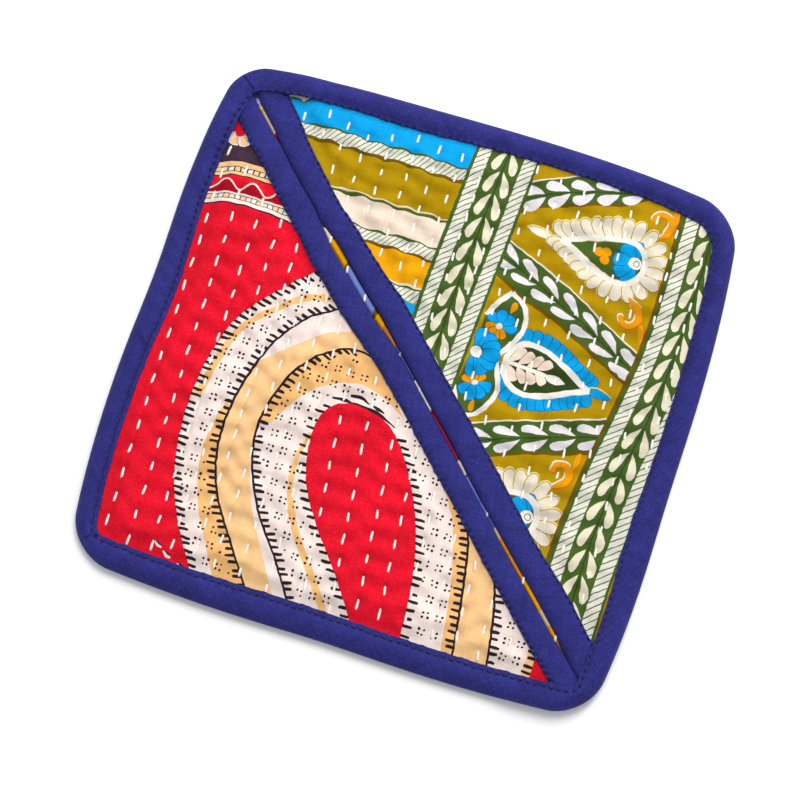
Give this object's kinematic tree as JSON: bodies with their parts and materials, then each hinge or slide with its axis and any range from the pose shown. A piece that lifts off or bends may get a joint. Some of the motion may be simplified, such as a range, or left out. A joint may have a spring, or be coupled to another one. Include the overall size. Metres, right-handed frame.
{
  "type": "quilted pot holder",
  "caption": "Square quilted cotton pot holder with triangular hand pockets that meet along a diagonal slit, bound in navy cloth.",
  "frame": {"origin": "bottom centre of the bounding box, on the surface that the pot holder lies on", "axes": "+Z out of the printed face, +Y towards the edge that is uppermost in the picture, +X to its right along that edge"},
  "size_m": [0.2054, 0.2045, 0.0083],
  "materials": {
    "quilt_calico": "woven cotton, quilted",
    "quilt_red": "printed woven cotton, quilted",
    "quilt_olive": "printed woven cotton, quilted",
    "binding_navy": "plain woven cotton"
  },
  "bodies": {
    "root": {"base_panel": "quilt_calico", "pocket_panel_lower_left": "quilt_red", "pocket_panel_upper_right": "quilt_olive", "pocket_binding_lower_left": "binding_navy", "pocket_binding_upper_right": "binding_navy", "edge_binding": "binding_navy"}
  },
  "joints": []
}
